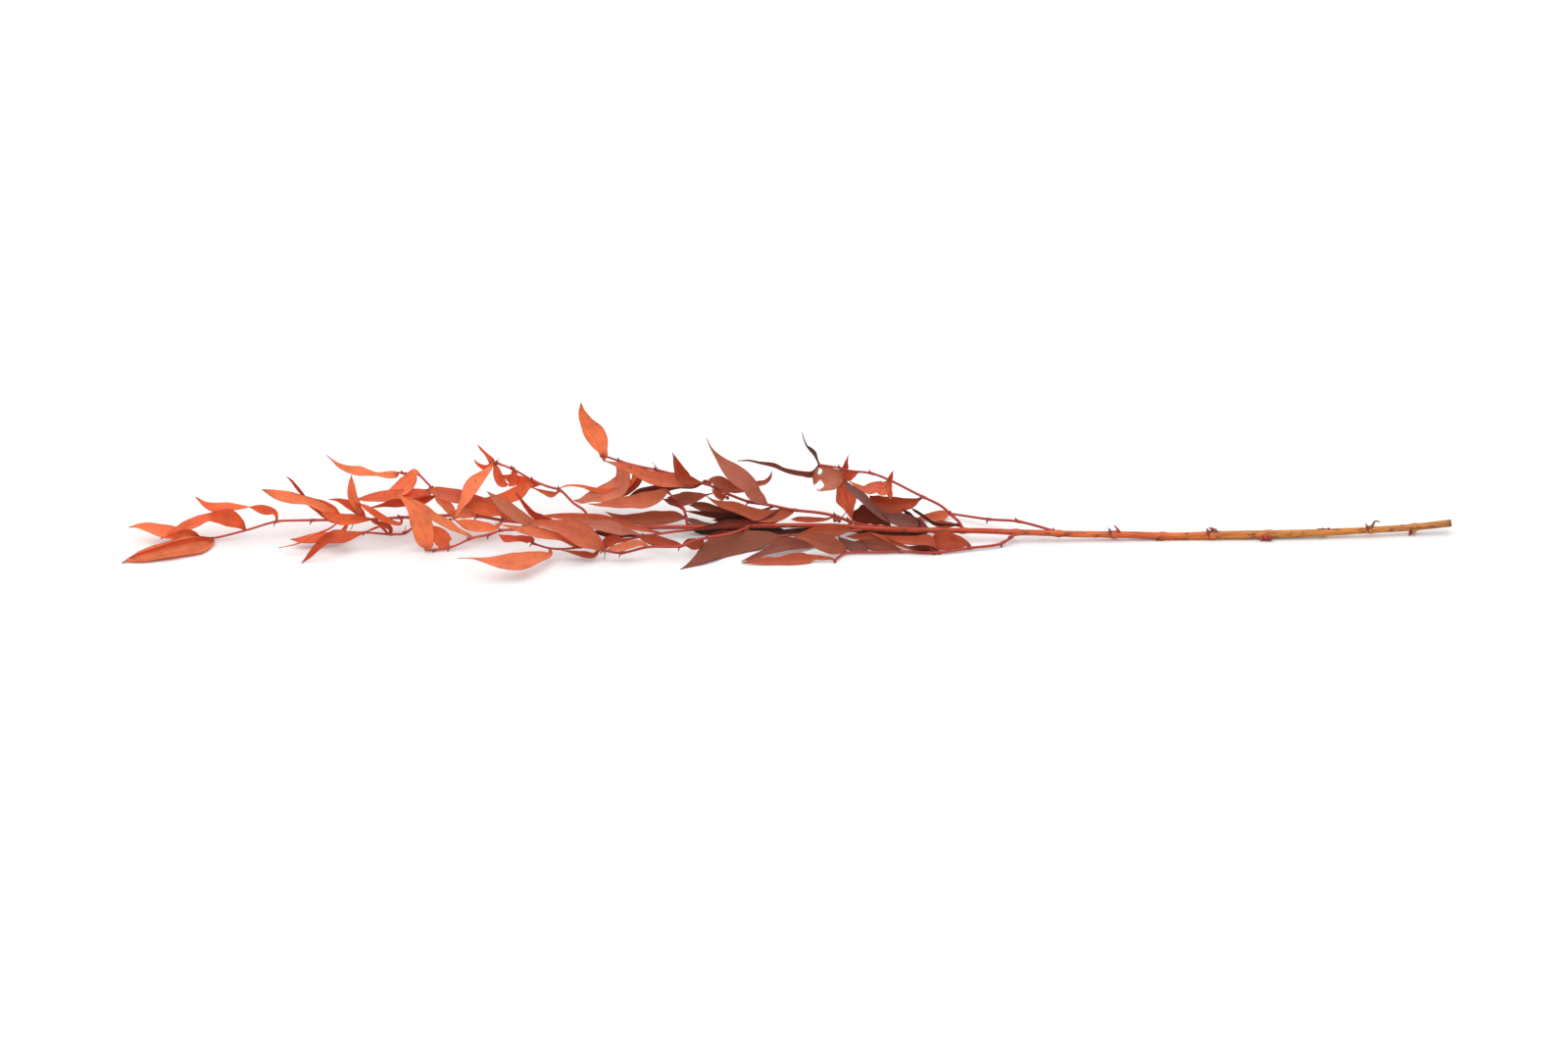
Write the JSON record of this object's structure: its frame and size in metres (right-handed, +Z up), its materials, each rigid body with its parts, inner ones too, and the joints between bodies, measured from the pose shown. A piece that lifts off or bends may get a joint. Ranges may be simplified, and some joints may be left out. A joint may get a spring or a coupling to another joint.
{
  "type": "preserved ruscus stem",
  "caption": "Cut, dyed and preserved branch of soft ruscus: a woody stem, bare below, with leafy side shoots and a leafy tip, lying on its side.",
  "frame": {"origin": "on the surface the stem lies on, under the middle of its box", "axes": "+X along the stem towards its cut end, +Y to the back as the stem is seen, +Z up"},
  "size_m": [0.9052, 0.1221, 0.078],
  "materials": {
    "woody_stem": "matt dyed bark, ochre at the cut end and red-orange towards the leaves",
    "orange_shoots": "satin, finely veined along the blade, bright orange",
    "rust_shoots": "satin, finely veined along the blade, rust to coral",
    "terracotta_shoots": "satin, finely veined along the blade, dull terracotta with brown-grey blades"
  },
  "bodies": {
    "root": {"woody_stem": "woody_stem", "leading_shoot": "orange_shoots", "side_shoot_01": "terracotta_shoots", "side_shoot_02": "terracotta_shoots", "side_shoot_03": "rust_shoots", "side_shoot_04": "terracotta_shoots", "side_shoot_05": "terracotta_shoots", "side_shoot_06": "rust_shoots", "side_shoot_07": "rust_shoots", "side_shoot_08": "terracotta_shoots", "side_shoot_09": "orange_shoots", "side_shoot_10": "orange_shoots", "side_shoot_11": "orange_shoots", "side_shoot_12": "orange_shoots"}
  },
  "joints": []
}
